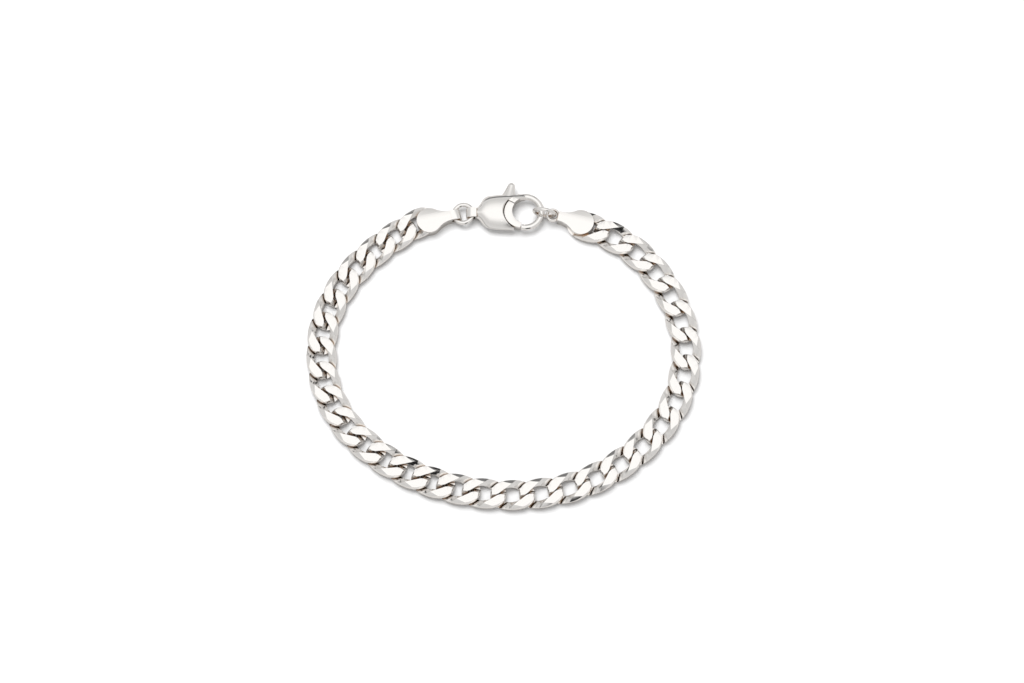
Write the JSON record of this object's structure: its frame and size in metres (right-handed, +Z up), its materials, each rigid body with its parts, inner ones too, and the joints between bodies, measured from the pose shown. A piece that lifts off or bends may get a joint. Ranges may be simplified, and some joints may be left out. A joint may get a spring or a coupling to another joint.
{
  "type": "link bracelet",
  "caption": "Flat curb-link bracelet with soldered end caps, jump rings and a lobster clasp, closed into a loop and lying flat.",
  "frame": {"origin": "middle of the closed loop's box, on the surface that it lies on", "axes": "+X along the loop's longest width, towards the hook's end of the clasp; +Y to the side where the clasp closes the loop; +Z up"},
  "size_m": [0.0786, 0.0676, 0.0049],
  "materials": {
    "chain_silver": "polished silver, faces cut flat",
    "clasp_silver": "mirror-polished silver"
  },
  "bodies": {
    "bracelet": {"catch_ring": "clasp_silver", "clasp_body": "clasp_silver", "clasp_ring": "clasp_silver", "left_cap": "clasp_silver", "lever_pin": "clasp_silver", "link_01": "chain_silver", "link_02": "chain_silver", "link_03": "chain_silver", "link_04": "chain_silver", "link_05": "chain_silver", "link_06": "chain_silver", "link_07": "chain_silver", "link_08": "chain_silver", "link_09": "chain_silver", "link_10": "chain_silver", "link_11": "chain_silver", "link_12": "chain_silver", "link_13": "chain_silver", "link_14": "chain_silver", "link_15": "chain_silver", "link_16": "chain_silver", "link_17": "chain_silver", "link_18": "chain_silver", "link_19": "chain_silver", "link_20": "chain_silver", "link_21": "chain_silver", "link_22": "chain_silver", "link_23": "chain_silver", "link_24": "chain_silver", "link_25": "chain_silver", "link_26": "chain_silver", "link_27": "chain_silver", "link_28": "chain_silver", "link_29": "chain_silver", "link_30": "chain_silver", "link_31": "chain_silver", "right_cap": "clasp_silver"},
    "lever": {"clasp_lever": "clasp_silver"}
  },
  "joints": [
    {"name": "lever_hinge", "type": "hinge", "parent": "bracelet", "child": "lever", "pos_m": [-0.00043, 0.02557, 0.00175], "axis": [0, 0, 1], "range_deg": [0, 22], "stiffness_Nm_per_rad": 0.02}
  ]
}
